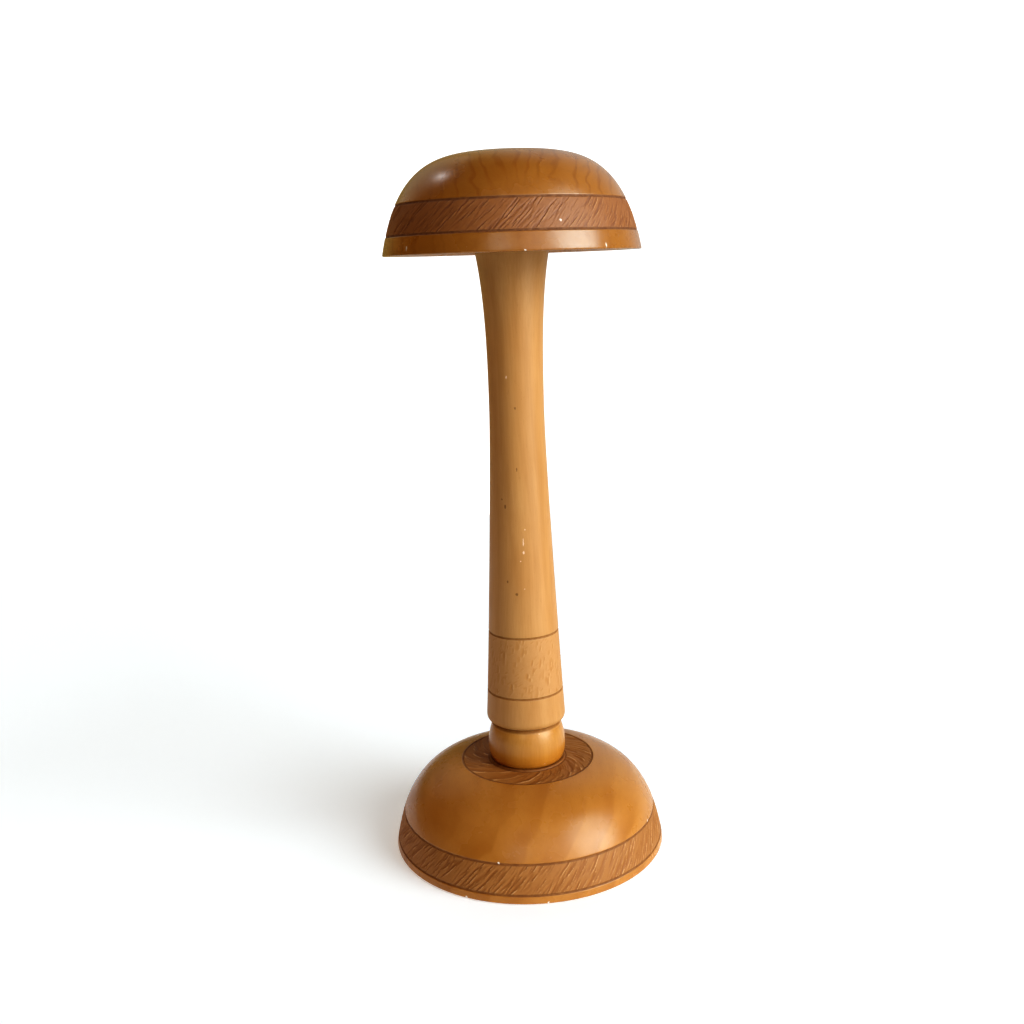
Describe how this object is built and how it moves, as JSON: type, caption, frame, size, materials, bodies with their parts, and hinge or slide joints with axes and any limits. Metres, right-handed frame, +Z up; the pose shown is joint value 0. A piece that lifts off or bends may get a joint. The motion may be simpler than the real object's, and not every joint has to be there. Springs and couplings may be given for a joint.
{
  "type": "hat stand",
  "caption": "Turned wooden hat stand: a domed base, a slender spindle stem and a mushroom cap that holds a hat clear of the table.",
  "frame": {"origin": "on the table, under the middle of the base", "axes": "+Z up along the turning axis; the stand is round, so X and Y are alike, and -Y faces the viewer"},
  "size_m": [0.1602, 0.1602, 0.3979],
  "materials": {
    "base_wood": "honey brown, gloss lacquer, carved bands and burnt lines",
    "stem_wood": "lighter tan, satin lacquer, upright grain",
    "cap_wood": "honey brown, gloss lacquer, a carved band between burnt lines",
    "dowel_wood": "raw beech",
    "screw_steel": "zinc plated",
    "washer_brass": "plain brass",
    "baize": "short-napped green baize"
  },
  "bodies": {
    "root": {"base": "base_wood", "stem": "stem_wood", "cap": "cap_wood", "cap_dowel": "dowel_wood", "stem_screw": "screw_steel", "screw_washer": "washer_brass", "base_felt": "baize"}
  },
  "joints": []
}
